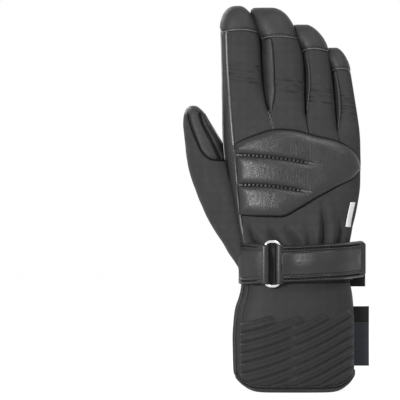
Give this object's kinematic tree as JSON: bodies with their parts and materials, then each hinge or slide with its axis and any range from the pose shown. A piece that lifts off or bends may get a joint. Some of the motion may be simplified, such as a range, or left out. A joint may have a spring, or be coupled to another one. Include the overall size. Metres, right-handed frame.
{
  "type": "ski glove",
  "caption": "Insulated right-hand ski glove with leather palm, padded knuckle cover, ridged cuff and a wrist strap drawn through a metal ring.",
  "frame": {"origin": "centre of the bounding box in X and Y, on the plane the cuff hem stands on", "axes": "+Z from the cuff hem to the fingertips, -Y out of the back of the hand, +Y out of the palm, -X towards the thumb"},
  "size_m": [0.1378, 0.0582, 0.2841],
  "materials": {
    "softshell": "matte woven softshell",
    "cuff_fabric": "matte embossed softshell",
    "stretch_fabric": "matte stretch knit",
    "palm_leather": "semi-gloss fine grain",
    "pad_leather": "glossy smooth",
    "strap_leather": "glossy coated",
    "foam": "open cell foam",
    "insulation": "polyester wadding",
    "lining": "brushed fleece",
    "grip": "printed dots",
    "webbing": "woven tape",
    "hook_and_loop": "hook and loop",
    "chrome": "polished",
    "label_cloth": "woven satin",
    "reflective": "retroreflective film"
  },
  "bodies": {
    "hand": {"cuff_back_panel": "cuff_fabric", "cuff_insulation": "insulation", "cuff_palm_panel": "softshell", "hand_back_panel": "softshell", "hand_insulation": "insulation", "hand_lining": "lining", "hand_palm_panel": "palm_leather", "hanging_loop": "webbing", "hem_tape": "webbing", "index_bend_zone": "stretch_fabric", "knuckle_pad_cover": "pad_leather", "knuckle_pad_foam": "foam", "label_tab": "label_cloth", "little_bend_zone": "stretch_fabric", "loop_patches": "hook_and_loop", "middle_bend_zone": "stretch_fabric", "pair_hook_tab": "webbing", "palm_grip": "grip", "reflective_strip": "reflective", "ring_bend_zone": "stretch_fabric", "strap_anchor": "strap_leather", "strap_base": "strap_leather", "thumb_bend_zone": "stretch_fabric", "thumb_saddle_panel": "palm_leather", "wrist_elastic": "webbing"},
    "index": {"index_back_panel": "softshell", "index_insulation": "insulation", "index_lining": "lining", "index_palm_panel": "palm_leather", "index_side_walls": "softshell", "index_tip_cap": "palm_leather"},
    "middle": {"middle_back_panel": "softshell", "middle_insulation": "insulation", "middle_lining": "lining", "middle_palm_panel": "palm_leather", "middle_side_walls": "softshell", "middle_tip_cap": "palm_leather"},
    "ring": {"ring_back_panel": "softshell", "ring_insulation": "insulation", "ring_lining": "lining", "ring_palm_panel": "palm_leather", "ring_side_walls": "softshell", "ring_tip_cap": "palm_leather"},
    "little": {"little_back_panel": "softshell", "little_insulation": "insulation", "little_lining": "lining", "little_palm_panel": "palm_leather", "little_side_walls": "softshell", "little_tip_cap": "palm_leather"},
    "thumb": {"thumb_back_panel": "palm_leather", "thumb_insulation": "insulation", "thumb_lining": "lining", "thumb_palm_panel": "palm_leather", "thumb_tip_cap": "palm_leather"},
    "buckle_ring": {"buckle_ring": "chrome"},
    "strap_tab": {"strap_tab": "strap_leather", "strap_hook_patch": "hook_and_loop"},
    "cuff_flap": {"cuff_flap": "strap_leather", "cuff_flap_hook_patch": "hook_and_loop"},
    "pair_hook": {"pair_hook": "chrome"}
  },
  "joints": [
    {"name": "index_bend", "type": "hinge", "parent": "hand", "child": "index", "pos_m": [-0.02417, 0.004, 0.20899], "axis": [-0.999, 0, -0.0454], "range_deg": [0, 60], "deforming": ["index_bend_zone"]},
    {"name": "middle_bend", "type": "hinge", "parent": "hand", "child": "middle", "pos_m": [0.00637, 0.0035, 0.20699], "axis": [-0.9976, 0, -0.0698], "range_deg": [0, 60], "deforming": ["middle_bend_zone"]},
    {"name": "ring_bend", "type": "hinge", "parent": "hand", "child": "ring", "pos_m": [0.03286, 0.005, 0.19798], "axis": [-0.9971, 0, -0.0767], "range_deg": [0, 60], "deforming": ["ring_bend_zone"]},
    {"name": "little_bend", "type": "hinge", "parent": "hand", "child": "little", "pos_m": [0.05353, 0.0065, 0.18797], "axis": [-0.9956, 0, -0.0941], "range_deg": [0, 60], "deforming": ["little_bend_zone"]},
    {"name": "thumb_swing", "type": "hinge", "parent": "hand", "child": "thumb", "pos_m": [-0.0319, 0.008, 0.11099], "axis": [0.2011, 0, -0.9796], "range_deg": [0, 38], "deforming": ["thumb_bend_zone"]},
    {"name": "ring_tilt", "type": "hinge", "parent": "hand", "child": "buckle_ring", "pos_m": [-0.00885, -0.0251, 0.094], "axis": [0, 0, -1], "range_deg": [0, 20]},
    {"name": "strap_open", "type": "hinge", "parent": "buckle_ring", "child": "strap_tab", "pos_m": [0.00205, -0.0251, 0.094], "axis": [0, 0, -1], "range_deg": [0, 140]},
    {"name": "flap_open", "type": "hinge", "parent": "hand", "child": "cuff_flap", "pos_m": [-0.024, 0.02217, 0.033], "axis": [0, 0, 1], "range_deg": [0, 120]},
    {"name": "hook_swing", "type": "hinge", "parent": "hand", "child": "pair_hook", "pos_m": [-0.014, 0.0246, 0.088], "axis": [1, 0, 0], "range_deg": [0, 120]}
  ]
}
